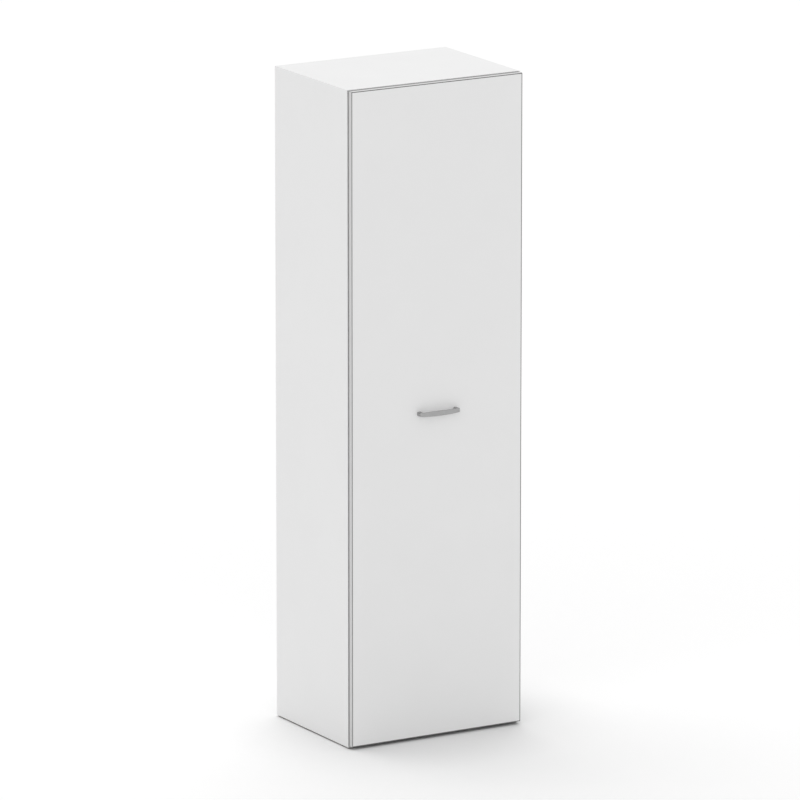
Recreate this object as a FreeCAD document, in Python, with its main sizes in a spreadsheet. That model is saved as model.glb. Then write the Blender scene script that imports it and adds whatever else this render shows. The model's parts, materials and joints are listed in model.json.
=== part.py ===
import FreeCAD, Part
import os
import re
from math import cos, pi, sin

import Sketcher
from FreeCAD import Placement, Rotation, Vector

# A tall wardrobe with one door, a hat shelf and a coat rail, in millimetres.
# X runs from left to right, Y from the door to the back, Z up from the floor.
# The origin is on the floor, at the centre of the overall box with the handle.

SIZES = {
    # Carcass boards
    "width": 600,
    "height": 2040,
    "carcass_depth": 440,
    "side_thickness": 18,
    "top_thickness": 18,
    "bottom_thickness": 18,
    "shelf_thickness": 18,
    "carcass_edging": 1,
    "carcass_edging_round": 0.5,
    "hat_height": 320,
    "shelf_setback": 25,
    "shelf_back_gap": 0.5,
    # Back panel in its groove
    "back_thickness": 3,
    "back_inset": 10,
    "groove_depth": 7,
    "groove_play": 0.2,
    "groove_end_play": 0.5,
    "back_screw_head_radius": 3.4,
    "back_screw_head_height": 1.8,
    "back_screw_radius": 1.7,
    "back_screw_length": 28,
    "back_screw_spread": 200,
    # Knock-down fittings
    "fitting_offset": 60,
    "dowel_offset": 32,
    "cam_radius": 7.5,
    "cam_depth": 13,
    "cam_edge_distance": 24,
    "cam_bolt_depth": 9,
    "cam_slot_length": 9,
    "cam_slot_width": 1.6,
    "cam_slot_depth": 1.8,
    "bolt_radius": 3,
    "bolt_thread_radius": 2.5,
    "bolt_thread_length": 11,
    "bolt_head_length": 3,
    "bolt_neck_radius": 2,
    "bolt_neck_length": 4,
    "dowel_radius": 4,
    "dowel_length": 30,
    "dowel_sink": 11,
    "dowel_chamfer": 0.8,
    "cap_radius": 8.5,
    "cap_thickness": 0.8,
    "fit_play": 0.1,
    "hole_end_play": 0.5,
    # Floor glides
    "glide_radius": 8,
    "glide_height": 4,
    "glide_chamfer": 1,
    "glide_offset": 40,
    "nail_recess": 1.2,
    "nail_head_radius": 3,
    "nail_head_height": 1,
    "nail_radius": 1.2,
    "nail_length": 16,
    # Coat rail
    "rail_height": 30,
    "rail_width": 15,
    "rail_wall": 1.2,
    "rail_drop": 62,
    "rail_end_play": 0.5,
    "socket_base": 3,
    "socket_depth": 13,
    "socket_rim": 2.5,
    "socket_ear": 14,
    "socket_play": 0.2,
    "socket_screw_head_radius": 3.2,
    "socket_screw_head_height": 1.8,
    "socket_screw_radius": 1.7,
    "socket_screw_length": 16,
    # Door
    "door_thickness": 16,
    "door_gap": 4,
    "door_side_gap": 2,
    "door_top_gap": 2.5,
    "door_bottom_gap": 5.5,
    "door_edging": 2,
    "door_edging_round": 0.5,
    "bumper_radius": 4,
    "bumper_chamfer": 1,
    "bumper_air_gap": 0.3,
    "bumper_offset": 45,
    # Hinges: a cup in the door, a pin in the cup, a swan-neck arm on a plate
    "hinge_end_offset": 100,
    "pivot_inset": 8.2,
    "pivot_depth": 8,
    "cup_radius": 17.5,
    "cup_depth": 12.5,
    "cup_wall": 1,
    "cup_edge_distance": 3,
    "flange_thickness": 1.2,
    "flange_reach": 1.5,
    "ear_half_width": 6,
    "ear_reach": 28.5,
    "cup_screw_spread": 45,
    "cup_screw_offset": 9.5,
    "cup_screw_head_radius": 3.2,
    "cup_screw_head_height": 1.4,
    "cup_screw_radius": 1.7,
    "cup_screw_length": 12,
    "pin_radius": 1.5,
    "pin_play": 0.06,
    "pin_press_play": 0.02,
    "cheek_play": 0.4,
    "cheek_thickness": 2.5,
    "cheek_half_width": 3,
    "cheek_reach": 2.2,
    "eye_radius": 2.6,
    "arm_width": 12,
    "arm_thickness": 2.8,
    "neck_offset": 0.6,
    "arm_bend": 2.6,
    "arm_length": 62,
    "channel_start": 8,
    "channel_wall": 1.2,
    "channel_play": 0.2,
    "arm_screw_front": 24,
    "arm_screw_back": 52,
    "arm_screw_head_radius": 3.8,
    "arm_screw_head_height": 2.2,
    "arm_screw_radius": 2.4,
    "plate_thickness": 4,
    "wing_thickness": 1.8,
    "plate_start": 15,
    "plate_wing_start": 30,
    "plate_wing_end": 44,
    "plate_wing_reach": 24,
    "plate_screw_line": 37,
    "plate_screw_spread": 32,
    "plate_screw_head_radius": 4,
    "plate_screw_head_height": 2.2,
    "plate_screw_radius": 2.4,
    "plate_screw_length": 15,
    # Magnetic catch
    "catch_reach": 14,
    "catch_proud": 1,
    "catch_depth": 16,
    "catch_half_height": 20,
    "catch_ear_length": 10,
    "catch_ear_thickness": 3,
    "catch_screw_head_radius": 3,
    "catch_screw_head_height": 1.6,
    "catch_screw_radius": 1.6,
    "catch_screw_length": 14,
    "magnet_inset": 3,
    "magnet_depth": 11,
    "magnet_half_height": 14,
    "magnet_air_gap": 0.3,
    "magnet_play": 0.1,
    "strike_thickness": 1.2,
    "strike_half_height": 27,
    "strike_inset": 1,
    "strike_screw_spread": 44,
    "strike_screw_head_radius": 2.8,
    "strike_screw_head_height": 1.2,
    "strike_screw_radius": 1.5,
    "strike_screw_length": 11,
    # Handle
    "handle_length": 140,
    "handle_leg_width": 12,
    "handle_height": 16,
    "handle_end_height": 11,
    "handle_projection": 28,
    "handle_leg": 22,
    "handle_inner_leg": 18,
    "handle_thickness": 6,
    "handle_shoulder": 8,
    "handle_edge_round": 1.6,
    "handle_screw_radius": 2,
    "handle_screw_head_radius": 3.6,
    "handle_screw_head_height": 2.4,
    "handle_thread_length": 8,
    # What every screw has: a sloping head, a cross recess, and a point or a chamfered end
    "head_slope": 1,
    "point_length": 3.5,
    "thread_chamfer": 0.5,
    "recess_length": 3.2,
    "recess_width": 0.8,
    "recess_depth": 0.7,
}

HINGE_COUNT = 4
CUT_OVERRUN = 1.0
SAME_PLACE = 0.01
FULL_TURN = 360
SIDES = ("left", "right")

# Places worked out from the sizes. A word here may use the words above it.
PLACES = {
    "left": "-width/2",
    "right": "width/2",
    "front": "(door_gap+door_thickness+handle_projection-carcass_depth)/2",
    "back": "front+carcass_depth",
    "board_front": "front+carcass_edging",
    "carcass_bottom": "glide_height",
    "bottom_top": "carcass_bottom+bottom_thickness",
    "top_underside": "height-top_thickness",
    "inner_left": "left+side_thickness",
    "inner_right": "right-side_thickness",
    "back_face": "back-back_inset-back_thickness",
    "groove_front": "back_face-groove_play/2",
    "groove_back": "back-back_inset+groove_play/2",
    "shelf_top": "top_underside-hat_height",
    "shelf_underside": "shelf_top-shelf_thickness",
    "shelf_front": "front+shelf_setback",
    "shelf_back": "back_face-shelf_back_gap",
    "rail_y": "(front+back_face)/2",
    "rail_z": "shelf_underside-rail_drop",
    "door_back": "front-door_gap",
    "door_front": "door_back-door_thickness",
    "door_left": "left+door_side_gap",
    "door_right": "right-door_side_gap",
    "door_bottom": "carcass_bottom+door_bottom_gap",
    "door_top": "height-door_top_gap",
    "handle_z": "(door_bottom+door_top)/2",
    "pivot_x": "door_right-pivot_inset",
    "pivot_y": "door_back-pivot_depth",
    "cup_x": "door_right-cup_edge_distance-cup_radius",
    "cheek_inner": "arm_width/2+cheek_play",
    "cheek_outer": "cheek_inner+cheek_thickness",
    "arm_outer_x": "inner_right-plate_thickness",
    "arm_inner_x": "arm_outer_x-arm_thickness",
    "arm_screw_length": "arm_thickness+plate_thickness",
    "handle_screw_length": "door_thickness+handle_thread_length",
    "handle_spacing": "handle_length-handle_leg_width",
    "handle_inner": "handle_length/2-handle_leg_width",
    "handle_finger_reach": "handle_projection-handle_thickness",
    "catch_x": "inner_left+catch_reach",
    "magnet_front": "door_back+strike_thickness+magnet_air_gap",
}
HINGE_HEIGHTS = [
    f"door_bottom+hinge_end_offset+{index}*(door_top-door_bottom-2*hinge_end_offset)/{HINGE_COUNT - 1}"
    for index in range(HINGE_COUNT)
]

OPPOSITE = {"+x": "-x", "-x": "+x", "+y": "-y", "-y": "+y", "+z": "-z", "-z": "+z"}
WAYS = {
    "+x": Vector(1, 0, 0),
    "-x": Vector(-1, 0, 0),
    "+y": Vector(0, 1, 0),
    "-y": Vector(0, -1, 0),
    "+z": Vector(0, 0, 1),
    "-z": Vector(0, 0, -1),
}

doc = FreeCAD.newDocument("wardrobe")
sheet = doc.addObject("Spreadsheet::Sheet", "Sizes")
for row, (alias, value) in enumerate(SIZES.items(), start=1):
    sheet.set(f"A{row}", alias.replace("_", " "))
    sheet.set(f"B{row}", str(value))
    sheet.setAlias(f"B{row}", alias)
doc.recompute()

nodes = {}
holes = {}


# Formulas and placing

def formula(text):
    """Spells out the places in a formula and points each size word at its cell."""

    def spell(match):
        word = match.group(0)
        if word in PLACES:
            return f"({formula(PLACES[word])})"
        return f"Sizes.{word}" if word in SIZES else word

    return re.sub(r"[a-z][a-z_0-9]*", spell, text)


def bind(thing, **formulas):
    for prop, text in formulas.items():
        thing.setExpression(prop, formula(text))


def facing(way, toward=None):
    """The turn that points a piece's own Z along way, and its own X along toward."""
    z_way = WAYS[way]
    x_way = WAYS[toward] if toward else Vector(z_way.y, z_way.z, z_way.x)
    return Rotation(x_way, z_way.cross(x_way), z_way, "ZXY")


def put(thing, x, y, z, turn=None):
    thing.Placement = Placement(Vector(), turn or Rotation())
    for axis, text in zip("xyz", (x, y, z)):
        thing.setExpression(f"Placement.Base.{axis}", formula(text))


def node(thing):
    """Marks a finished piece: its label names its file."""
    nodes[thing.Label] = thing
    return thing


# Simple solids and booleans

def box(name, x, y, z):
    """A box between a low and a high place on each axis."""
    solid = doc.addObject("Part::Box", name)
    for prop, (low, high) in zip(("Length", "Width", "Height"), (x, y, z)):
        solid.setExpression(prop, formula(f"({high})-({low})"))
    put(solid, x[0], y[0], z[0])
    return solid


def around(middle, half):
    return f"{middle}-({half})", f"{middle}+({half})"


def rod(name, start, way, radius, length):
    """A round bar from a start point along one axis."""
    solid = doc.addObject("Part::Cylinder", name)
    bind(solid, Radius=radius, Height=length)
    put(solid, *start, turn=facing(way))
    return solid


def fuse(name, pieces):
    solid = doc.addObject("Part::MultiFuse", name)
    solid.Shapes = pieces
    return solid


def cut(name, base, tools):
    solid = doc.addObject("Part::Cut", name)
    solid.Base = base
    solid.Tool = tools[0] if len(tools) == 1 else fuse(f"{name}_tools", tools)
    return solid


def oval(name, x, across, tall):
    """A flat-sided oval bar along X, on the coat rail's line."""
    straight = f"(({tall})-({across}))/2"
    length = f"({x[1]})-({x[0]})"
    middle = box(f"{name}_middle", x, around("rail_y", f"({across})/2"), around("rail_z", straight))
    ends = []
    for index, sign in enumerate("+-"):
        start = (x[0], "rail_y", f"rail_z{sign}{straight}")
        ends.append(rod(f"{name}_end_{index}", start, "+x", f"({across})/2", length))
    return fuse(name, [middle, *ends])


def copies(name, pattern, places):
    """One node that holds a pattern piece at each place: x, y, z and the turn there."""
    links = []
    for index, (x, y, z, turn) in enumerate(places, start=1):
        link = doc.addObject("App::Link", f"{name}_copy_{index}")
        link.LinkedObject = pattern
        put(link, x, y, z, turn)
        links.append(link)
    group = doc.addObject("Part::Compound", name)
    group.Links = links
    return node(group)


# Sketched bodies

def new_body(name):
    return doc.addObject("PartDesign::Body", name)


def sketch_on(body, name, plane, lift="0"):
    sketch = body.newObject("Sketcher::SketchObject", f"{body.Name}_{name}")
    support = [item for item in body.Origin.OriginFeatures if item.Role == plane][0]
    sketch.AttachmentSupport = (support, [""])
    sketch.MapMode = "FlatFace"
    sketch.setExpression("AttachmentOffset.Base.z", formula(lift))
    return sketch


def fix(sketch, kind, label, text, *geometry):
    """Adds one dimension to a sketch and ties it to a formula."""
    index = sketch.addConstraint(Sketcher.Constraint(kind, *geometry))
    sketch.renameConstraint(index, label)
    sketch.setExpression(f"Constraints.{label}", formula(text))


def fix_point(sketch, label, corner, line, end, drawn_at=(1.0, 1.0)):
    for kind, axis, text, value in zip(("DistanceX", "DistanceY"), "xy", corner, drawn_at):
        fix(sketch, kind, f"{label}_{axis}", text, -1, 1, line, end, value)


def outline(body, name, plane, corners, lift="0"):
    """A closed sketch of straight lines with every corner tied to formulas."""
    sketch = sketch_on(body, name, plane, lift)
    count = len(corners)
    ring = [Vector(cos(2 * pi * i / count), sin(2 * pi * i / count), 0) for i in range(count)]
    for i in range(count):
        sketch.addGeometry(Part.LineSegment(ring[i], ring[(i + 1) % count]), False)
    for i in range(count):
        sketch.addConstraint(Sketcher.Constraint("Coincident", i, 2, (i + 1) % count, 1))
    for i, corner in enumerate(corners):
        fix_point(sketch, f"corner_{i}", corner, i, 1)
    return sketch


def rectangle(body, name, plane, x, y, lift="0"):
    return outline(body, name, plane, [(x[0], y[0]), (x[1], y[0]), (x[1], y[1]), (x[0], y[1])], lift)


def circles(body, name, plane, centres, radius, lift="0"):
    sketch = sketch_on(body, name, plane, lift)
    for index, centre in enumerate(centres):
        sketch.addGeometry(Part.Circle(Vector(index, 0, 0), Vector(0, 0, 1), 1), False)
        fix_point(sketch, f"centre_{index}", centre, index, 3)
        fix(sketch, "Radius", f"radius_{index}", radius, index, 1.0)
    return sketch


def pad(body, sketch, length, both_ways=False, backwards=False):
    feature = body.newObject("PartDesign::Pad", f"{sketch.Name}_pad")
    feature.Profile = sketch
    feature.SideType = "Symmetric" if both_ways else "One side"
    feature.Reversed = backwards
    bind(feature, Length=length)
    doc.recompute()
    return feature


def pocket(body, sketch, length, both_ways=False, backwards=False):
    before = body.Shape.Volume
    feature = body.newObject("PartDesign::Pocket", f"{sketch.Name}_pocket")
    feature.Profile = sketch
    feature.SideType = "Symmetric" if both_ways else "One side"
    feature.Reversed = backwards
    bind(feature, Length=length)
    doc.recompute()
    if body.Shape.Volume >= before:
        raise RuntimeError(f"{feature.Name} cuts nothing")
    return feature


def turn_profile(body, kind, sketch):
    """Turns a sketch about its own upright axis, to add or to cut."""
    feature = body.newObject(f"PartDesign::{kind}", f"{sketch.Name}_turned")
    feature.Profile = sketch
    feature.ReferenceAxis = (sketch, ["V_Axis"])
    feature.Angle = FULL_TURN
    doc.recompute()
    return feature


def round_edges(body, base, chosen, radius):
    names = [f"Edge{i}" for i, edge in enumerate(base.Shape.Edges, start=1) if chosen(edge)]
    feature = body.newObject("PartDesign::Fillet", f"{base.Name}_rounded")
    feature.Base = (base, names)
    bind(feature, Radius=radius)
    doc.recompute()
    return feature


def upright_at(x, y):
    """Picks the edges that run along Z through a point of the plan."""

    def chosen(edge):
        return all(abs(v.X - x) < SAME_PLACE and abs(v.Y - y) < SAME_PLACE for v in edge.Vertexes)

    return chosen


def fastener(prefix, pointed=True, recessed=True):
    """A screw whose head stands on Z = 0 and whose shank points down."""
    body = new_body(f"{prefix}_pattern")
    radius, length = f"{prefix}_radius", f"{prefix}_length"
    head_radius, head_height = f"{prefix}_head_radius", f"{prefix}_head_height"
    head_top = f"{head_radius}-head_slope"
    corners = [("0", head_height), (head_top, head_height), (head_radius, "0"), (radius, "0")]
    if pointed:
        corners += [(radius, f"-({length}-point_length)"), ("0", f"-({length})")]
    else:
        corners += [
            (radius, f"-({length}-thread_chamfer)"),
            (f"{radius}-thread_chamfer", f"-({length})"),
            ("0", f"-({length})"),
        ]
    turn_profile(body, "Revolution", outline(body, "profile", "XZ_Plane", corners))
    if recessed:
        cross_slot(body, "recess_length", "recess_width", "recess_depth", head_height)
    return body


def cross_slot(body, length, width, depth, top="0"):
    for index, (x, y) in enumerate(((length, width), (width, length))):
        span_x, span_y = around("0", f"{x}/2"), around("0", f"{y}/2")
        pocket(body, rectangle(body, f"slot_{index}", "XY_Plane", span_x, span_y, top), depth)


def drill(board, name, start, way, radius, length):
    """Notes a hole that a board gets when it is cut."""
    tool = rod(name, start, way, f"{radius}+fit_play", length)
    holes.setdefault(board, []).append(tool)


def screw_set(name, prefix, seats, pointed=True, recessed=True):
    """Screws with their heads on the seats, and the holes for them in the boards that they enter."""
    places = []
    for index, (x, y, z, head_way, boards) in enumerate(seats, start=1):
        places.append((x, y, z, facing(head_way)))
        for board in boards:
            drill(board, f"{name}_{index}_in_{board}", (x, y, z), OPPOSITE[head_way],
                  f"{prefix}_radius", f"{prefix}_length+hole_end_play")
    copies(name, fastener(prefix, pointed, recessed), places)


def from_side(side, low, high):
    """A span on X, measured inwards from a side's inner face."""
    if side == "left":
        return f"inner_left+({low})", f"inner_left+({high})"
    return f"inner_right-({high})", f"inner_right-({low})"


INWARD = {"left": "+x", "right": "-x"}


# Board joints: a cam, its bolt and dowels, at the same places in both boards

JOINT_LINES = {
    "front_cam": "front+fitting_offset",
    "back_cam": "back-fitting_offset",
    "front_dowel": "front+fitting_offset+dowel_offset",
    "back_dowel": "back-fitting_offset-dowel_offset",
}


def board_joints():
    """Each end board's joint with a face board: where it is, and where its cam sits and faces."""
    joints = []
    for side in SIDES:
        inward = INWARD[side]
        sign, other_sign = ("+", "-") if side == "left" else ("-", "+")
        joints.append({
            "name": f"{side}_top",
            "face_board": "top",
            "end_board": side,
            "origin": (f"inner_{side}{other_sign}cam_bolt_depth", "top_underside"),
            "way": "+z",
            "cam": (f"inner_{side}", "top_underside-cam_edge_distance"),
            "cam_way": inward,
        })
        for board, underside in (("bottom", "carcass_bottom"), ("shelf", "shelf_underside")):
            joints.append({
                "name": f"{side}_{board}",
                "face_board": side,
                "end_board": board,
                "origin": (f"inner_{side}", f"{underside}+cam_bolt_depth"),
                "way": OPPOSITE[inward],
                "cam": (f"inner_{side}{sign}cam_edge_distance", underside),
                "cam_way": "-z",
            })
    return joints


def drill_joint(joint):
    x, z = joint["origin"]
    cam_x, cam_z = joint["cam"]
    face_board, end_board = joint["face_board"], joint["end_board"]
    way, back_way = joint["way"], OPPOSITE[joint["way"]]
    for line, y in JOINT_LINES.items():
        name = f"{joint['name']}_{line}"
        start = (x, y, z)
        if line.endswith("cam"):
            thread = "bolt_thread_length+hole_end_play"
            drill(face_board, f"{name}_thread", start, way, "bolt_thread_radius", thread)
            drill(end_board, f"{name}_shank", start, back_way, "bolt_radius", "cam_edge_distance")
            bore_way = OPPOSITE[joint["cam_way"]]
            drill(end_board, f"{name}_bore", (cam_x, y, cam_z), bore_way, "cam_radius", "cam_depth")
        else:
            stand = "dowel_length-dowel_sink+hole_end_play"
            drill(face_board, f"{name}_sink", start, way, "dowel_radius", "dowel_sink+hole_end_play")
            drill(end_board, f"{name}_hole", start, back_way, "dowel_radius", stand)


def turned_pattern(name, corners):
    body = new_body(name)
    turn_profile(body, "Revolution", outline(body, "profile", "XZ_Plane", corners))
    return body


def cam_pattern():
    """A cam flush with Z = 0, with a socket for the bolt's head towards X and a cross slot."""
    cam = turned_pattern("cam_pattern", [
        ("0", "0"), ("cam_radius", "0"), ("cam_radius", "-cam_depth"), ("0", "-cam_depth"),
    ])
    centre = [("0", "-cam_bolt_depth")]
    mouth = circles(cam, "mouth", "YZ_Plane", centre, "bolt_radius+fit_play")
    pocket(cam, mouth, f"cam_radius+{CUT_OVERRUN}", backwards=True)
    socket = circles(cam, "socket", "YZ_Plane", centre, "bolt_radius+fit_play")
    pocket(cam, socket, "bolt_head_length")
    cross_slot(cam, "cam_slot_length", "cam_slot_width", "cam_slot_depth")
    return cam


def bolt_pattern():
    """A cam bolt: its thread goes up into the face board, its head down into the cam."""
    head_start = "-(cam_edge_distance-bolt_head_length/2)"
    neck_start = f"{head_start}+bolt_neck_length"
    head_end = f"{head_start}-bolt_head_length"
    return turned_pattern("bolt_pattern", [
        ("0", "bolt_thread_length"),
        ("bolt_thread_radius", "bolt_thread_length"),
        ("bolt_thread_radius", "0"),
        ("bolt_radius", "0"),
        ("bolt_radius", neck_start),
        ("bolt_neck_radius", neck_start),
        ("bolt_neck_radius", head_start),
        ("bolt_radius", head_start),
        ("bolt_radius", head_end),
        ("0", head_end),
    ])


def dowel_pattern():
    dowel_end = "-(dowel_length-dowel_sink)"
    return turned_pattern("dowel_pattern", [
        ("0", "dowel_sink"),
        ("dowel_radius-dowel_chamfer", "dowel_sink"),
        ("dowel_radius", "dowel_sink-dowel_chamfer"),
        ("dowel_radius", f"{dowel_end}+dowel_chamfer"),
        ("dowel_radius-dowel_chamfer", dowel_end),
        ("0", dowel_end),
    ])


def cap_pattern():
    return turned_pattern("cap_pattern", [
        ("0", "cap_thickness"),
        ("cap_radius-cap_thickness", "cap_thickness"),
        ("cap_radius", "0"),
        ("0", "0"),
    ])


def make_fittings():
    cams, bolts, dowels, caps = [], [], [], []
    for joint in board_joints():
        drill_joint(joint)
        x, z = joint["origin"]
        cam_x, cam_z = joint["cam"]
        for line, y in JOINT_LINES.items():
            if line.endswith("dowel"):
                dowels.append((x, y, z, facing(joint["way"])))
                continue
            bolts.append((x, y, z, facing(joint["way"])))
            cams.append((cam_x, y, cam_z, facing(joint["cam_way"], joint["way"])))
            if joint["end_board"] != "bottom":
                caps.append((cam_x, y, cam_z, facing(joint["cam_way"])))
    copies("cam_housings", cam_pattern(), cams)
    copies("cam_bolts", bolt_pattern(), bolts)
    copies("dowels", dowel_pattern(), dowels)
    copies("cam_caps", cap_pattern(), caps)


# Floor glides, nailed up into the sides

def make_glides():
    glide = turned_pattern("glide_pattern", [
        ("nail_head_radius+fit_play", "0"),
        ("glide_radius-glide_chamfer", "0"),
        ("glide_radius", "glide_chamfer"),
        ("glide_radius", "glide_height"),
        ("nail_radius+fit_play", "glide_height"),
        ("nail_radius+fit_play", "nail_recess"),
        ("nail_head_radius+fit_play", "nail_recess"),
    ])
    spots = [
        (f"({side}+inner_{side})/2", y, side)
        for side in SIDES
        for y in ("front+glide_offset", "back-glide_offset")
    ]
    for index, (x, y, _) in enumerate(spots, start=1):
        copies(f"floor_glide_{index}", glide, [(x, y, "0", Rotation())])
    nails = [(x, y, "nail_recess", "-z", [side]) for x, y, side in spots]
    screw_set("glide_nails", "nail", nails, recessed=False)


# Coat rail: an oval tube in two screwed sockets

def make_rail():
    start, end = "inner_left+socket_base+rail_end_play", "inner_right-socket_base-rail_end_play"
    tube = oval("rail_solid", (start, end), "rail_width", "rail_height")
    hollow = oval("rail_hollow", (f"{start}-{CUT_OVERRUN}", f"{end}+{CUT_OVERRUN}"),
                  "rail_width-2*rail_wall", "rail_height-2*rail_wall")
    node(cut("coat_rail", tube, [hollow]))

    seats, blocks = [], {}
    across, tall = "rail_width+2*(socket_play+socket_rim)", "rail_height+2*(socket_play+socket_rim)"
    screw_rise = "rail_height/2+socket_play+socket_rim+socket_ear/2"
    for side in SIDES:
        socket = f"rail_socket_{side}"
        base_x, rim_x = from_side(side, "0", "socket_base"), from_side(side, "0", "socket_depth")
        base = oval(f"{socket}_base", base_x, across, f"{tall}+2*socket_ear")
        rim = oval(f"{socket}_rim", rim_x, across, tall)
        blocks[socket] = fuse(f"{socket}_block", [base, rim])
        cavity_x = from_side(side, "socket_base", f"socket_depth+{CUT_OVERRUN}")
        cavity = oval(f"{socket}_cavity", cavity_x, "rail_width+2*socket_play", "rail_height+2*socket_play")
        holes[socket] = [cavity]
        seat_x = from_side(side, "socket_base", "socket_base")[0]
        for sign in "+-":
            seats.append((seat_x, "rail_y", f"rail_z{sign}({screw_rise})", INWARD[side], [side, socket]))
    screw_set("rail_socket_screws", "socket_screw", seats)
    for socket, block in blocks.items():
        node(cut(socket, block, holes[socket]))


# Back screws, through the back panel into the shelf's rear edge

def make_back_screws():
    seats = [
        (x, "back-back_inset", "shelf_underside+shelf_thickness/2", "+y", ["back", "shelf"])
        for x in ("-back_screw_spread", "0", "back_screw_spread")
    ]
    screw_set("back_screws", "back_screw", seats)


# Hinges. The pin's line is the one that the door swings about.

def hinge_arm():
    """A swan-neck arm about the pin's line: an eye, a strip that bends back, a channel over the plate."""
    body = new_body("arm_pattern")
    inner, outer = "arm_inner_x-pivot_x", "arm_outer_x-pivot_x"
    neck_front, neck_back = "neck_offset-arm_thickness", "neck_offset"
    rear, channel_front = "front+arm_length-pivot_y", "front+channel_start-pivot_y"
    strip = pad(body, outline(body, "strip", "XY_Plane", [
        ("0", neck_front), (inner, neck_front), (inner, rear),
        (outer, rear), (outer, neck_back), ("0", neck_back),
    ]), "arm_width", both_ways=True)
    bend_x = min(vertex.X for vertex in strip.Shape.Vertexes)
    bend_y = min(vertex.Y for vertex in strip.Shape.Vertexes)
    round_edges(body, strip, upright_at(bend_x, bend_y), "arm_bend")
    pad(body, circles(body, "eye", "XY_Plane", [("0", "0")], "eye_radius"), "arm_width", both_ways=True)
    over_plate = "plate_thickness-wing_thickness-channel_play"
    span = (inner, f"{outer}+{over_plate}")
    pad(body, rectangle(body, "channel", "XY_Plane", span, (channel_front, rear)),
        "arm_width+2*channel_wall", both_ways=True)
    inside = (outer, f"{outer}+{over_plate}")
    pocket(body, rectangle(body, "trough", "XY_Plane", inside, (channel_front, rear)),
           "arm_width", both_ways=True)
    pocket(body, circles(body, "pin_hole", "XY_Plane", [("0", "0")], "pin_radius+pin_play"),
           f"arm_width+{CUT_OVERRUN}", both_ways=True)
    centres = arm_screw_centres("pivot_y")
    pocket(body, circles(body, "screw_holes", "YZ_Plane", centres, "arm_screw_radius+fit_play"),
           f"2*(pivot_x-arm_inner_x+{CUT_OVERRUN})", both_ways=True)
    return body


def arm_screw_centres(y_zero):
    return [(f"front+{line}-({y_zero})", "0") for line in ("arm_screw_front", "arm_screw_back")]


def hinge_plate():
    """The mounting plate: a bar under the arm and two wings for its screws, on the side's inner face."""
    body = new_body("plate_pattern")
    bar = "arm_width/2-channel_play"
    pad(body, rectangle(body, "bar", "YZ_Plane", ("plate_start", "arm_length"), around("0", bar)),
        "plate_thickness", backwards=True)
    pad(body, rectangle(body, "wings", "YZ_Plane", ("plate_wing_start", "plate_wing_end"),
                        around("0", "plate_wing_reach")), "wing_thickness", backwards=True)
    plate_screws = [("plate_screw_line", f"{sign}plate_screw_spread/2") for sign in ("", "-")]
    pocket(body, circles(body, "side_screws", "YZ_Plane", plate_screws, "plate_screw_radius+fit_play"),
           "plate_thickness")
    arm_screws = arm_screw_centres("front")
    pocket(body, circles(body, "arm_screws", "YZ_Plane", arm_screws, "arm_screw_radius+fit_play"),
           "plate_thickness")
    return body


def hinge_cup():
    """The cup, centred on the door's back face: a flanged pot with two cheeks that hold the pin."""
    body = new_body("cup_pattern")
    ring, floor = "cup_radius+flange_reach", "cup_wall-cup_depth"
    turn_profile(body, "Revolution", outline(body, "pot", "XY_Plane", [
        ("0", "-cup_depth"), ("cup_radius", "-cup_depth"), ("cup_radius", "0"), (ring, "0"),
        (ring, "flange_thickness"), ("0", "flange_thickness"),
    ]))
    ears = around("-cup_screw_offset", "ear_half_width")
    pad(body, rectangle(body, "ears", "XZ_Plane", ears, around("0", "ear_reach")),
        "flange_thickness", backwards=True)
    above = f"flange_thickness+{CUT_OVERRUN}"
    inside = "cup_radius-cup_wall"
    turn_profile(body, "Groove", outline(body, "cavity", "XY_Plane", [
        ("0", floor), (inside, floor), (inside, above), ("0", above),
    ]))
    trim = rectangle(body, "trim", "XZ_Plane", ("cup_radius", f"{ring}+{CUT_OVERRUN}"), around("0", ring))
    pocket(body, trim, "flange_thickness")
    pin_x = "pivot_x-cup_x"
    cheek = (f"{pin_x}-cheek_half_width", f"{pin_x}+cheek_reach"), (floor, "cheek_half_width-pivot_depth")
    pad(body, rectangle(body, "cheeks", "XY_Plane", *cheek), "2*cheek_outer", both_ways=True)
    pocket(body, rectangle(body, "between", "XY_Plane", *cheek), "2*cheek_inner", both_ways=True)
    pin_centre = [(pin_x, "-pivot_depth")]
    pocket(body, circles(body, "pin_hole", "XY_Plane", pin_centre, "pin_radius+pin_press_play"),
           "2*cheek_outer", both_ways=True)
    screws = [("-cup_screw_offset", f"{sign}cup_screw_spread/2") for sign in ("", "-")]
    pocket(body, circles(body, "screws", "XZ_Plane", screws, "cup_screw_radius+fit_play"),
           "flange_thickness")
    return body


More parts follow.
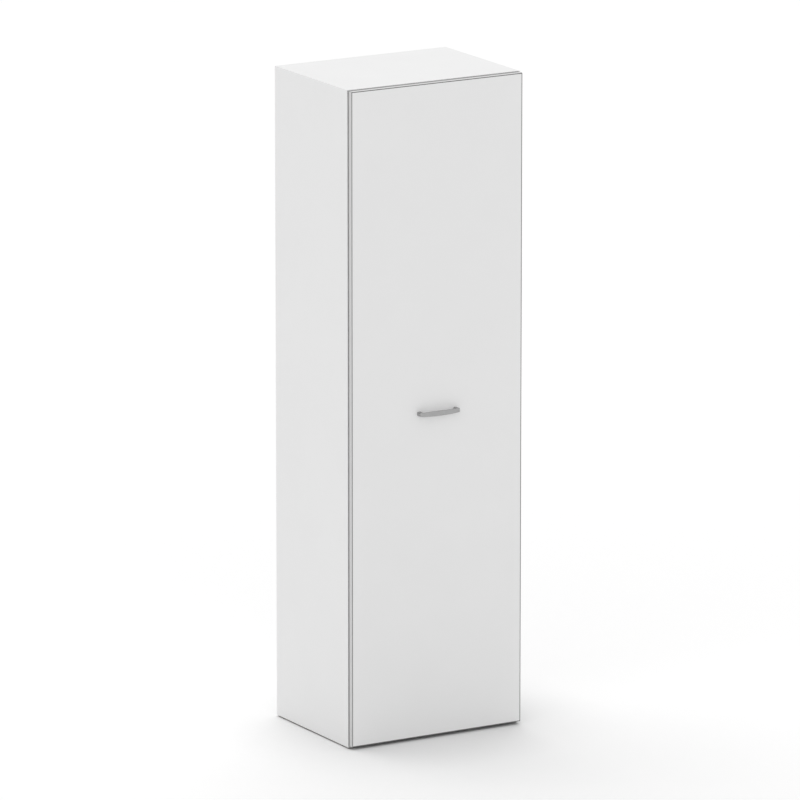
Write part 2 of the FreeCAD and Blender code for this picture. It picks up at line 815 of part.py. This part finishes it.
def make_hinges():
    arm, plate, cup = hinge_arm(), hinge_plate(), hinge_cup()
    arm_seats, plate_seats, cup_seats = [], [], []
    for index, z in enumerate(HINGE_HEIGHTS, start=1):
        copies(f"hinge_arm_{index}", arm, [("pivot_x", "pivot_y", z, Rotation())])
        copies(f"hinge_plate_{index}", plate, [("inner_right", "front", z, Rotation())])
        copies(f"hinge_cup_{index}", cup, [("cup_x", "door_back", z, Rotation())])
        pin_start = ("pivot_x", "pivot_y", f"{z}-cheek_outer")
        node(rod(f"hinge_pin_{index}", pin_start, "+z", "pin_radius", "2*cheek_outer"))
        drill("door", f"cup_bore_{index}", ("cup_x", "door_back", z), "-y", "cup_radius", "cup_depth")
        for y, _ in arm_screw_centres("0"):
            arm_seats.append(("arm_inner_x", y, z, "-x", []))
        plate_at = ("inner_right-wing_thickness", "front+plate_screw_line")
        cup_at = ("cup_x-cup_screw_offset", "door_back+flange_thickness")
        for sign in "+-":
            plate_seats.append((*plate_at, f"{z}{sign}plate_screw_spread/2", "-x", ["right"]))
            cup_seats.append((*cup_at, f"{z}{sign}cup_screw_spread/2", "+y", ["door"]))
    screw_set("hinge_arm_screws", "arm_screw", arm_seats, pointed=False)
    screw_set("hinge_plate_screws", "plate_screw", plate_seats)
    screw_set("hinge_cup_screws", "cup_screw", cup_seats)


# Magnetic catch on the left side, and its strike plate on the door

def make_catch():
    catch_back = "front+catch_depth"
    case = box("catch_case", ("inner_left", "catch_x"), ("front-catch_proud", catch_back),
               around("handle_z", "catch_half_height"))
    ears = box("catch_ears", ("inner_left", "inner_left+catch_ear_thickness"), ("board_front", catch_back),
               around("handle_z", "catch_half_height+catch_ear_length"))
    magnet_x = ("inner_left+magnet_inset", "catch_x-magnet_inset")
    magnet_back = "magnet_front+magnet_depth"
    magnet_z = around("handle_z", "magnet_half_height")
    node(box("catch_magnet", magnet_x, ("magnet_front", magnet_back), magnet_z))
    slot_x = (f"{magnet_x[0]}-magnet_play", f"{magnet_x[1]}+magnet_play")
    slot = box("magnet_slot", slot_x, (f"front-catch_proud-{CUT_OVERRUN}", magnet_back),
               around("handle_z", "magnet_half_height+magnet_play"))
    holes["catch"] = [slot]
    ear_at = ("inner_left+catch_ear_thickness", "front+catch_depth/2")
    ear_rise = "(catch_half_height+catch_ear_length/2)"
    screw_set("catch_screws", "catch_screw", [
        (*ear_at, f"handle_z{sign}{ear_rise}", "+x", ["left", "catch"]) for sign in "+-"
    ])
    node(cut("catch_housing", fuse("catch_block", [case, ears]), holes["catch"]))

    strike = box("strike_blank", ("inner_left+strike_inset", "catch_x-strike_inset"),
                 ("door_back", "door_back+strike_thickness"), around("handle_z", "strike_half_height"))
    strike_at = ("(inner_left+catch_x)/2", "door_back+strike_thickness")
    screw_set("strike_screws", "strike_screw", [
        (*strike_at, f"handle_z{sign}strike_screw_spread/2", "+y", ["door", "strike"]) for sign in "+-"
    ])
    node(cut("strike_plate", strike, holes["strike"]))


# Handle: a bow with square legs, taller in its middle, screwed on through the door

def arched(body, name, plane, way, words, drawn):
    """A closed sketch of an arc, two straight sides and a straight base, upwards or downwards.

    The words are formulas for the half width, the springing of the arc, its crown and the base.
    """
    half, spring, crown, base = words
    half_mm, spring_mm, crown_mm, base_mm = drawn
    ends = ((1, spring, spring_mm), (-1, spring, spring_mm), (-1, base, base_mm), (1, base, base_mm))
    corners = [(f"{way * side}*({half})", f"{way}*({level})") for side, level, _ in ends]
    drawn_at = [(way * side * half_mm, way * level_mm) for side, _, level_mm in ends]
    points = [Vector(*point) for point in drawn_at]
    sketch = sketch_on(body, name, plane)
    sketch.addGeometry(Part.Arc(points[0], Vector(0, way * crown_mm), points[1]), False)
    for start, finish in ((1, 2), (2, 3), (3, 0)):
        sketch.addGeometry(Part.LineSegment(points[start], points[finish]), False)
    for index, corner in enumerate(corners):
        before = (index - 1) % len(corners)
        sketch.addConstraint(Sketcher.Constraint("Coincident", before, 2, index, 1))
        fix_point(sketch, f"corner_{index}", corner, index, 1, drawn_at[index])
    rise = f"(({crown})-({spring}))"
    fix(sketch, "Radius", "crown", f"(({half})^2+{rise}^2)/(2*{rise})", 0, sketch.Geometry[0].Radius)
    return sketch


def make_handle():
    body = new_body("handle_pattern")
    half_mm, leg_mm, reach_mm = sheet.handle_length / 2, sheet.handle_leg, sheet.handle_projection
    blank_height = f"handle_height+2*{CUT_OVERRUN}"
    bow_words = ("handle_length/2", "handle_leg", "handle_projection", "0")
    bow_sketch = arched(body, "bow", "XY_Plane", -1, bow_words, (half_mm, leg_mm, reach_mm, 0))
    bow = pad(body, bow_sketch, blank_height, both_ways=True)

    def shoulder(edge):
        return any(upright_at(x, -leg_mm)(edge) for x in (-half_mm, half_mm))

    def rim(edge):
        span = edge.BoundBox
        upright = span.XLength < SAME_PLACE and span.YLength < SAME_PLACE
        return not upright and span.YMin < -SAME_PLACE

    round_edges(body, bow, shoulder, "handle_shoulder")
    gap_words = ("handle_inner", "handle_inner_leg", "handle_finger_reach", "0")
    gap_mm = (half_mm - sheet.handle_leg_width, sheet.handle_inner_leg, reach_mm - sheet.handle_thickness, 0)
    pocket(body, arched(body, "finger_gap", "XY_Plane", -1, gap_words, gap_mm), blank_height, both_ways=True)
    taper_words = (f"handle_length/2+{CUT_OVERRUN}", "handle_end_height/2", "handle_height/2", blank_height)
    taper_mm = (half_mm + CUT_OVERRUN, sheet.handle_end_height / 2, sheet.handle_height / 2,
                sheet.handle_height + 2 * CUT_OVERRUN)
    for name, way in (("upper_taper", 1), ("lower_taper", -1)):
        taper = arched(body, name, "XZ_Plane", way, taper_words, taper_mm)
        trimmed = pocket(body, taper, f"handle_projection+{CUT_OVERRUN}", backwards=True)
    body.Tip = round_edges(body, trimmed, rim, "handle_edge_round")
    screw_places = [(f"{sign}handle_spacing/2", "0") for sign in ("", "-")]
    pocket(body, circles(body, "threads", "XZ_Plane", screw_places, "handle_screw_radius+fit_play"),
           "handle_thread_length+hole_end_play", backwards=True)
    copies("handle_bow", body, [("0", "door_front", "handle_z", Rotation())])
    screw_set("handle_screws", "handle_screw", [
        (x, "door_back", "handle_z", "+y", ["door"]) for x, _ in screw_places
    ], pointed=False)


# Boards and edging, cut last because every piece above notes its holes

def edging(name, x, y, z, outer, radius):
    """A strip of edging, with the long arrises of its outer face rounded."""
    body = new_body(name)
    strip = pad(body, rectangle(body, "section", "XY_Plane", x, y, z[0]), f"({z[1]})-({z[0]})")
    face = max(strip.Shape.Faces, key=lambda side: side.CenterOfMass.dot(WAYS[outer]))
    longest = max(edge.Length for edge in face.Edges)

    def long_arris(edge):
        return any(edge.isSame(own) for own in face.Edges) and edge.Length > longest - SAME_PLACE

    body.Tip = round_edges(body, strip, long_arris, radius)
    return node(body)


def make_carcass():
    depth = ("board_front", "back")
    edging_y = ("front", "board_front")
    groove_y = ("groove_front", "groove_back")
    inside = ("inner_left", "inner_right")
    for side, x in (("left", ("left", "inner_left")), ("right", ("inner_right", "right"))):
        z = ("carcass_bottom", "top_underside")
        groove = box(f"{side}_groove", from_side(side, "-groove_depth", str(CUT_OVERRUN)), groove_y,
                     ("bottom_top-groove_depth", f"top_underside+{CUT_OVERRUN}"))
        node(cut(f"{side}_side_panel", box(f"{side}_board", x, depth, z), [*holes[side], groove]))
        edging(f"{side}_side_edging", x, edging_y, z, "-y", "carcass_edging_round")

    whole = ("left", "right")
    top_z = ("top_underside", "height")
    top_groove = box("top_groove", ("inner_left-groove_depth", "inner_right+groove_depth"), groove_y,
                     (f"top_underside-{CUT_OVERRUN}", "top_underside+groove_depth"))
    node(cut("top_panel", box("top_board", whole, depth, top_z), [*holes["top"], top_groove]))
    edging("top_edging", whole, edging_y, top_z, "-y", "carcass_edging_round")

    bottom_z = ("carcass_bottom", "bottom_top")
    through = (f"inner_left-{CUT_OVERRUN}", f"inner_right+{CUT_OVERRUN}")
    bottom_groove = box("bottom_groove", through, groove_y,
                        ("bottom_top-groove_depth", f"bottom_top+{CUT_OVERRUN}"))
    bottom_board = box("bottom_board", inside, depth, bottom_z)
    node(cut("bottom_panel", bottom_board, [*holes["bottom"], bottom_groove]))
    edging("bottom_edging", inside, edging_y, bottom_z, "-y", "carcass_edging_round")

    shelf_z = ("shelf_underside", "shelf_top")
    shelf_edge = "shelf_front+carcass_edging"
    node(cut("hat_shelf", box("shelf_board", inside, (shelf_edge, "shelf_back"), shelf_z), holes["shelf"]))
    edging("shelf_edging", inside, ("shelf_front", shelf_edge), shelf_z, "-y", "carcass_edging_round")

    reach = "groove_depth-groove_end_play"
    back_board = box("back_board", (f"inner_left-({reach})", f"inner_right+({reach})"),
                     ("back_face", "back_face+back_thickness"),
                     (f"bottom_top-({reach})", f"top_underside+({reach})"))
    node(cut("back_panel", back_board, holes["back"]))


def make_door():
    thick = ("door_front", "door_back")
    x = ("door_left+door_edging", "door_right-door_edging")
    z = ("door_bottom+door_edging", "door_top-door_edging")
    node(cut("door_panel", box("door_board", x, thick, z), holes["door"]))
    full = ("door_bottom", "door_top")
    for side, strip_x, strip_z, outer in (
        ("left", ("door_left", x[0]), full, "-x"),
        ("right", (x[1], "door_right"), full, "+x"),
        ("top", x, (z[1], "door_top"), "+z"),
        ("bottom", x, ("door_bottom", z[0]), "-z"),
    ):
        edging(f"door_edging_{side}", strip_x, thick, strip_z, outer, "door_edging_round")
    bumper_height = "door_gap-bumper_air_gap"
    bumper = turned_pattern("bumper_pattern", [
        ("0", bumper_height),
        ("bumper_radius-bumper_chamfer", bumper_height),
        ("bumper_radius", f"{bumper_height}-bumper_chamfer"),
        ("bumper_radius", "0"),
        ("0", "0"),
    ])
    copies("door_bumpers", bumper, [
        ("(left+inner_left)/2", "door_back", z, facing("+y"))
        for z in ("door_bottom+bumper_offset", "door_top-bumper_offset")
    ])


make_fittings()
make_glides()
make_rail()
make_back_screws()
make_hinges()
make_catch()
make_handle()
make_carcass()
make_door()
doc.recompute()

for thing in doc.Objects:
    if "Invalid" in thing.State or "Error" in thing.State:
        raise RuntimeError(f"{thing.Name} failed: {thing.State}")
for name, thing in nodes.items():
    if thing.Shape.isNull() or not thing.Shape.isValid():
        raise RuntimeError(f"{name} has no valid shape")

os.makedirs("parts", exist_ok=True)
for name, thing in nodes.items():
    thing.Shape.exportStep(f"parts/{name}.step")
print(f"{len(nodes)} pieces written")
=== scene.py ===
import json
from math import radians

import bmesh
import bpy
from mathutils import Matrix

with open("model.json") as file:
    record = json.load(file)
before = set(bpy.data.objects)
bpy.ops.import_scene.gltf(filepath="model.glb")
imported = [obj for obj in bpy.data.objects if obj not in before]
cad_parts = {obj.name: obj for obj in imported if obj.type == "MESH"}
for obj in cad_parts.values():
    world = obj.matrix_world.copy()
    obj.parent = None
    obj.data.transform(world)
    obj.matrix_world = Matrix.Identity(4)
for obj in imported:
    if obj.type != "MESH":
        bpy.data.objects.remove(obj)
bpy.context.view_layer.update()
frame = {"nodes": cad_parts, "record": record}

# A tall white wardrobe with one door, in metres.
# X runs from left to right, Y from the door to the back and Z up.

MM = 0.001
SLOT_OF_NODE = {part["node"]: part["material_slot"] for part in frame["record"]["subparts"]}

# Camera, fitted to the outline in an image of 800 x 800.
# Angles are in degrees, and the sensor's width is in millimetres.
CAMERA_PLACE = (-12.963, -22.142, 7.089)
CAMERA_AZIMUTH = 30.34
CAMERA_DIP = 13.32
FOCAL_PIXELS = 8650
IMAGE_PIXELS = 800
SENSOR_WIDTH = 36.0

# Light: a white sky all round, a high soft key from behind and a low wide fill from the front left.
# Heights and azimuths are in degrees, with azimuth 0 behind the wardrobe and -90 on its left.
SKY_LIGHT = 0.63
KEY = {"energy": 1.11, "spread": 60, "height": 58, "azimuth": 5}
FILL = {"energy": 0.92, "spread": 90, "height": 10, "azimuth": -138}

# Floor: its size, how much it bounces, and the painted shadow that darkens its colour close to the wardrobe
# and in the gap under it.
# It lies off centre, so that the seam between its two triangles is far from the wardrobe.
FLOOR_SIZE = 240.0
FLOOR_OFFSET = 60.0
FLOOR_BOUNCE = 0.91
CONTACT_REACH = 0.35
CONTACT_SHADE = 0.30
GAP_OPEN_SKY = 0.5
GAP_SHADE = 0.16

# A thin dark line along the border of the door panel, beside its edging
BORDER_LINE_WIDTH = 0.8 * MM
BORDER_LINE_LEVEL = 0.2

# How far a face of the edging turns outward where the silver skin begins, and where it covers the painted
# shade
SILVER_BEGINS = 0.15
SILVER_COVERS = 0.45

# How far a face turns down to count as the lower edge of a board
LOWER_EDGE = 0.5


# Shader expressions

class Wire:
    """One socket of a node tree. Arithmetic on wires adds the Math nodes that work it out."""

    def __init__(self, tree, socket=None):
        self.tree = tree
        self.socket = socket

    def node(self, kind, settings=None, inputs=None, out=0):
        """Adds a node: its settings first, then the values or links of its sockets. Gives one output."""
        made = self.tree.nodes.new(kind)
        for name, value in (settings or {}).items():
            setattr(made, name, value)
        for name, value in (inputs or {}).items():
            if isinstance(value, Wire):
                self.tree.links.new(value.socket, made.inputs[name])
            else:
                made.inputs[name].default_value = value
        return Wire(self.tree, made.outputs[out] if made.outputs else None)

    def math(self, operation, *others):
        """A Math node with this wire as its first value."""
        return self.node("ShaderNodeMath", {"operation": operation}, dict(enumerate((self, *others))))

    def __add__(self, other):
        return self.math("ADD", other)

    def __sub__(self, other):
        return self.math("SUBTRACT", other)

    def __rsub__(self, other):
        return self.node("ShaderNodeMath", {"operation": "SUBTRACT"}, {0: other, 1: self})

    def __mul__(self, other):
        return self.math("MULTIPLY", other)

    def __gt__(self, other):
        return self.math("GREATER_THAN", other)

    __radd__ = __add__
    __rmul__ = __mul__

    def between(self, low_colour, high_colour):
        """A colour between two, by this wire from 0 to 1."""
        # Inputs 0, 6 and 7 of a Mix node are its factor and its two colours. Output 2 is the mixed colour.
        inputs = {0: self, 6: low_colour, 7: high_colour}
        return self.node("ShaderNodeMix", {"data_type": "RGBA"}, inputs, out=2)

    def stretched(self, x, y, z):
        """This vector scaled along each axis. A small factor draws a pattern out along its axis."""
        return self.node("ShaderNodeVectorMath", {"operation": "MULTIPLY"}, {0: self, 1: (x, y, z)})

    def noise(self, per_metre, detail=2.0, roughness=0.5):
        """Soft noise from 0 to 1, with about so many grains to a metre."""
        inputs = {"Vector": self, "Scale": per_metre, "Detail": detail, "Roughness": roughness}
        return self.node("ShaderNodeTexNoise", None, inputs)

    def axis(self, name):
        """One coordinate of this vector."""
        return self.node("ShaderNodeSeparateXYZ", None, {"Vector": self}, out=name)

    def smooth(self, low, high):
        """0 below the low value, 1 above the high one and a soft step between."""
        inputs = {"Value": self, "From Min": low, "From Max": high}
        return self.node("ShaderNodeMapRange", {"interpolation_type": "SMOOTHSTEP"}, inputs)


def grey(level):
    return (level, level, level, 1.0)


def tint(red, green, blue):
    return (red, green, blue, 1.0)


def new_material(name):
    """An empty material, with a wire that carries the place on the piece."""
    made = bpy.data.materials.new(name)
    made.use_nodes = True
    made.node_tree.nodes.clear()
    return made, Wire(made.node_tree).node("ShaderNodeTexCoord", out="Object")


def facing(place, axis):
    """How far a face turns along an axis of its piece, from -1 to 1."""
    return place.node("ShaderNodeTexCoord", out="Normal").axis(axis)


def finish_material(made, place, sockets, bump, bump_depth):
    """Closes a material with one shader, and a bump of a real depth in metres."""
    normal = place.node("ShaderNodeBump", None, {"Height": bump, "Distance": bump_depth})
    shader = place.node("ShaderNodeBsdfPrincipled", None, {**sockets, "Normal": normal})
    place.node("ShaderNodeOutputMaterial", None, {"Surface": shader})
    return made


# Finishes of boards and edging

def dark_border_line(place):
    """A thin dark line along the border of the door panel."""
    corners = frame["nodes"]["door_panel"].bound_box
    beside = []
    for index, name in ((0, "X"), (2, "Z")):
        span = [corner[index] for corner in corners]
        middle = (max(span) + min(span)) / 2
        inner_reach = (max(span) - min(span)) / 2 - BORDER_LINE_WIDTH
        beside.append((place.axis(name) - middle).math("ABSOLUTE") > inner_reach)
    return beside[0].math("MAXIMUM", beside[1]), grey(BORDER_LINE_LEVEL)


def bare_foot(place):
    """The bare chips of the board, on the lower cut edge of a side."""
    chips = place.stretched(1, 0.4, 1).noise(380, detail=3, roughness=0.65)
    colour = chips.between(tint(0.16, 0.13, 0.10), tint(0.42, 0.35, 0.28))
    return -1.0 * facing(place, "Z") > LOWER_EDGE, colour


def white_melamine(name, marked_place=None):
    """Pearl-grained melamine: a fine even grain, and a cloudiness that is barely there.

    A marked place is a function that gives the mask and the colour of a mark on the melamine: the bare chips
    of a side's lower edge, or the thin dark line along the door panel's border.
    """
    made, place = new_material(name)
    cloud = place.noise(5)
    grain = place.noise(1400)
    colour = (0.85 * cloud + 0.15 * grain).between(grey(0.82), grey(0.848))
    if marked_place:
        mask, mark_colour = marked_place(place)
        colour = mask.between(colour, mark_colour)
    return finish_material(made, place, {
        "Base Color": colour,
        "Roughness": 0.42 + 0.16 * grain,
        "Specular IOR Level": 0.2,
    }, bump=grain, bump_depth=0.04 * MM)


def white_lacquered_back():
    """Lacquer over hardboard: the fibres of the board show through as short soft flecks."""
    made, place = new_material("white_lacquered_back")
    fibre = place.stretched(1, 1, 0.35).noise(420, detail=4, roughness=0.62)
    cloud = place.noise(7)
    return finish_material(made, place, {
        "Base Color": (0.5 * cloud + 0.5 * fibre).between(grey(0.80), grey(0.87)),
        "Roughness": 0.5 + 0.2 * fibre,
        "Specular IOR Level": 0.3,
    }, bump=fibre, bump_depth=0.06 * MM)


def edge_strip(name, along, outward):
    """Edging with a brushed silver skin over its rounded arrises. Its faces that don't turn outward, beside
    the panel, are painted dark as painted shade.
    """
    made, place = new_material(name)
    brushed = place.stretched(*along).noise(1500, detail=3, roughness=0.6)
    patch = place.noise(30)
    # Faces that don't turn outward get a dark colour: painted shade for the dark line along the edge.
    skin = facing(place, outward).math("ABSOLUTE").smooth(SILVER_BEGINS, SILVER_COVERS)
    silver = (0.7 * brushed + 0.3 * patch).between(grey(0.55), grey(0.675))
    painted_shade = brushed.between(grey(0.11), grey(0.15))
    return finish_material(made, place, {
        "Base Color": skin.between(painted_shade, silver),
        "Roughness": 0.3 + 0.2 * brushed,
        "Metallic": 0.4 * skin,
        "Specular IOR Level": 0.1,
    }, bump=brushed, bump_depth=0.012 * MM)


# Finishes of fittings, rail, hinges and handle

def zinc_plate():
    """Zinc plating: pale metal with cloudy passivated patches."""
    made, place = new_material("zinc_plate")
    patch = place.noise(160, detail=3, roughness=0.6)
    pit = place.noise(2600)
    return finish_material(made, place, {
        "Base Color": patch.between(tint(0.60, 0.61, 0.62), tint(0.74, 0.74, 0.72)),
        "Roughness": 0.26 + 0.22 * patch,
        "Metallic": 1.0,
    }, bump=pit, bump_depth=0.01 * MM)


def beech():
    """Beech with its short dark flecks along the grain."""
    made, place = new_material("beech")
    grain = place.stretched(0.12, 1, 1).noise(700, detail=4, roughness=0.6)
    fleck = place.stretched(0.2, 1, 1).noise(1500) > 0.64
    wood = grain.between(tint(0.58, 0.40, 0.24), tint(0.76, 0.58, 0.39))
    return finish_material(made, place, {
        "Base Color": fleck.between(wood, tint(0.42, 0.27, 0.15)),
        "Roughness": 0.55 + 0.2 * grain,
    }, bump=grain, bump_depth=0.05 * MM)


def moulded_plastic(name, low, high, texture_depth):
    """Moulded plastic with the fine spark texture of its mould."""
    made, place = new_material(name)
    spark = place.noise(2200, detail=3, roughness=0.65)
    flow = place.noise(90)
    return finish_material(made, place, {
        "Base Color": (0.6 * spark + 0.4 * flow).between(low, high),
        "Roughness": 0.38 + 0.24 * spark,
    }, bump=spark, bump_depth=texture_depth)


def rail_chrome():
    """Chrome on drawn tube: a mirror with faint draw lines and a few rubbed places."""
    made, place = new_material("rail_chrome")
    drawn = place.stretched(0.02, 1, 1).noise(1800, detail=3, roughness=0.6)
    rubbed = place.noise(45, detail=3)
    return finish_material(made, place, {
        "Base Color": rubbed.between(tint(0.70, 0.71, 0.72), tint(0.80, 0.80, 0.81)),
        "Roughness": 0.05 + 0.07 * drawn + 0.06 * rubbed,
        "Metallic": 1.0,
    }, bump=drawn, bump_depth=0.004 * MM)


def hinge_nickel():
    """Bright nickel on pressed steel: a slight warm cast and the soft waviness of a pressing."""
    made, place = new_material("hinge_nickel")
    wave = place.noise(260)
    scuff = place.stretched(1, 0.15, 1).noise(1600, detail=3, roughness=0.6)
    return finish_material(made, place, {
        "Base Color": wave.between(tint(0.62, 0.61, 0.58), tint(0.74, 0.72, 0.69)),
        "Roughness": 0.16 + 0.18 * scuff,
        "Metallic": 1.0,
    }, bump=wave, bump_depth=0.05 * MM)


def satin_nickel():
    """The handle's satin nickel: brushed along the bow, with soft darker patches."""
    made, place = new_material("satin_nickel")
    brushed = place.stretched(0.04, 1, 1).noise(2200, detail=4, roughness=0.62)
    patch = place.noise(70)
    return finish_material(made, place, {
        "Base Color": (0.6 * brushed + 0.4 * patch).between(grey(0.30), grey(0.45)),
        "Roughness": 0.24 + 0.2 * brushed,
        "Metallic": 1.0,
    }, bump=brushed, bump_depth=0.012 * MM)


def dark_ferrite():
    """The catch's magnet: sintered ferrite, dark with a fine dry grain."""
    made, place = new_material("dark_ferrite")
    sinter = place.noise(1900, detail=4, roughness=0.7)
    return finish_material(made, place, {
        "Base Color": sinter.between(grey(0.035), grey(0.10)),
        "Roughness": 0.5 + 0.3 * sinter,
    }, bump=sinter, bump_depth=0.03 * MM)


def soft_silicone():
    """The door's bumpers: milky silicone with a faint haze."""
    made, place = new_material("soft_silicone")
    haze = place.noise(400, detail=3)
    return finish_material(made, place, {
        "Base Color": haze.between(grey(0.70), grey(0.80)),
        "Roughness": 0.3 + 0.2 * haze,
        "Coat Weight": 0.2,
    }, bump=haze, bump_depth=0.02 * MM)


# The finish of each slot of the record
FINISHES = {
    "white_board": white_melamine("white_melamine"),
    "back_board": white_lacquered_back(),
    "zinc_fittings": zinc_plate(),
    "beech_dowel": beech(),
    "white_plastic": moulded_plastic("white_plastic", grey(0.78), grey(0.84), 0.02 * MM),
    "glide_plastic": moulded_plastic("glide_plastic", grey(0.018), grey(0.034), 0.03 * MM),
    "rail_chrome": rail_chrome(),
    "hinge_nickel": hinge_nickel(),
    "magnet_ferrite": dark_ferrite(),
    "bumper_rubber": soft_silicone(),
    "handle_metal": satin_nickel(),
}

# Edging is brushed along its length. Its face turns to the rim of the door, or to the front of the carcass.
UPRIGHT = (1, 1, 0.02)
LEVEL = (0.02, 1, 1)
DOOR_UPRIGHT_STRIP = edge_strip("door_upright_strip", UPRIGHT, "X")
DOOR_LEVEL_STRIP = edge_strip("door_level_strip", LEVEL, "Z")
CARCASS_UPRIGHT_STRIP = edge_strip("carcass_upright_strip", UPRIGHT, "Y")
CARCASS_LEVEL_STRIP = edge_strip("carcass_level_strip", LEVEL, "Y")

# The pieces that have a finish of their own
SIDE_MELAMINE = white_melamine("side_melamine", bare_foot)
OWN_FINISH = {
    "left_side_panel": SIDE_MELAMINE,
    "right_side_panel": SIDE_MELAMINE,
    # The door panel's melamine has a thin dark line along its border.
    "door_panel": white_melamine("door_melamine", dark_border_line),
    "door_edging_left": DOOR_UPRIGHT_STRIP,
    "door_edging_right": DOOR_UPRIGHT_STRIP,
    "door_edging_top": DOOR_LEVEL_STRIP,
    "door_edging_bottom": DOOR_LEVEL_STRIP,
    "left_side_edging": CARCASS_UPRIGHT_STRIP,
    "right_side_edging": CARCASS_UPRIGHT_STRIP,
    "top_edging": CARCASS_LEVEL_STRIP,
    "bottom_edging": CARCASS_LEVEL_STRIP,
    "shelf_edging": CARCASS_LEVEL_STRIP,
}


def dress_nodes():
    """Gives every piece of the frame its own finish, or the one of its slot."""
    for name, piece in frame["nodes"].items():
        finish = OWN_FINISH[name] if name in OWN_FINISH else FINISHES[SLOT_OF_NODE[name]]
        for slot in piece.material_slots:
            slot.material = finish


# The stage: floor, sky, suns and camera

def seen_directly(wire):
    """1 for what the camera sees, in person, mirrored or through glass, and 0 for bounced light."""
    rays = ("Camera", "Glossy", "Transmission")
    in_person, mirrored, through = [wire.node("ShaderNodeLightPath", out=f"Is {ray} Ray") for ray in rays]
    return in_person.math("MAXIMUM", mirrored).math("MAXIMUM", through)


def pale_floor():
    """A floor that is white where the camera sees it in full light, and that keeps the wardrobe's shadow.
    Its colour is also darkened close to the wardrobe and in the gap under it, as painted contact shadow.
    """
    made, place = new_material("pale_floor")
    # Painted shadow: the floor's colour is darkened where little sky is open, close to the wardrobe and
    # under it.
    open_sky = place.node("ShaderNodeAmbientOcclusion", None, {"Distance": CONTACT_REACH}, out="AO")
    painted_contact_shadow = 1.0 - CONTACT_SHADE * (1.0 - open_sky)
    painted_gap_shadow = 1.0 - GAP_SHADE * (1.0 - open_sky.smooth(0.0, GAP_OPEN_SKY))
    level = FLOOR_BOUNCE + (1.0 - FLOOR_BOUNCE) * seen_directly(place)
    colour = (level * painted_contact_shadow * painted_gap_shadow).between(grey(0.0), grey(1.0))
    shader = place.node("ShaderNodeBsdfDiffuse", None, {"Color": colour})
    place.node("ShaderNodeOutputMaterial", None, {"Surface": shader})
    return made


def make_floor():
    """One wide flat face under the wardrobe."""
    mesh = bpy.data.meshes.new("floor")
    shape = bmesh.new()
    bmesh.ops.create_grid(shape, x_segments=1, y_segments=1, size=FLOOR_SIZE / 2)
    bmesh.ops.translate(shape, verts=shape.verts, vec=(FLOOR_OFFSET, 0, 0))
    shape.to_mesh(mesh)
    shape.free()
    mesh.materials.append(pale_floor())
    floor = bpy.data.objects.new("floor", mesh)
    bpy.context.scene.collection.objects.link(floor)


def make_sky():
    """A plain sky: white to the camera, and a softer light on the wardrobe."""
    world = bpy.data.worlds.new("white_sky")
    world.use_nodes = True
    world.node_tree.nodes.clear()
    wire = Wire(world.node_tree)
    strength = SKY_LIGHT + (1.0 - SKY_LIGHT) * seen_directly(wire)
    shader = wire.node("ShaderNodeBackground", None, {"Color": grey(1.0), "Strength": strength})
    wire.node("ShaderNodeOutputWorld", None, {"Surface": shader})
    bpy.context.scene.world = world


def make_sun(name, energy, spread, height, azimuth):
    """A far lamp at a height and an azimuth, as soft as its spread is wide."""
    lamp = bpy.data.lights.new(name, "SUN")
    lamp.energy = energy
    lamp.angle = radians(spread)
    sun = bpy.data.objects.new(name, lamp)
    sun.rotation_euler = (radians(height - 90), 0, radians(-azimuth))
    bpy.context.scene.collection.objects.link(sun)


def make_camera():
    """The camera on the front left, dipped towards the wardrobe."""
    lens = bpy.data.cameras.new("camera")
    lens.sensor_width = SENSOR_WIDTH
    lens.lens = FOCAL_PIXELS / IMAGE_PIXELS * SENSOR_WIDTH
    lens.clip_end = FLOOR_SIZE
    camera = bpy.data.objects.new("camera", lens)
    camera.location = CAMERA_PLACE
    camera.rotation_euler = (radians(90 - CAMERA_DIP), 0, radians(-CAMERA_AZIMUTH))
    bpy.context.scene.collection.objects.link(camera)
    bpy.context.scene.camera = camera


dress_nodes()
make_floor()
make_sky()
make_sun("key_sun", **KEY)
make_sun("fill_sun", **FILL)
make_camera()
bpy.context.scene.view_settings.view_transform = "Standard"
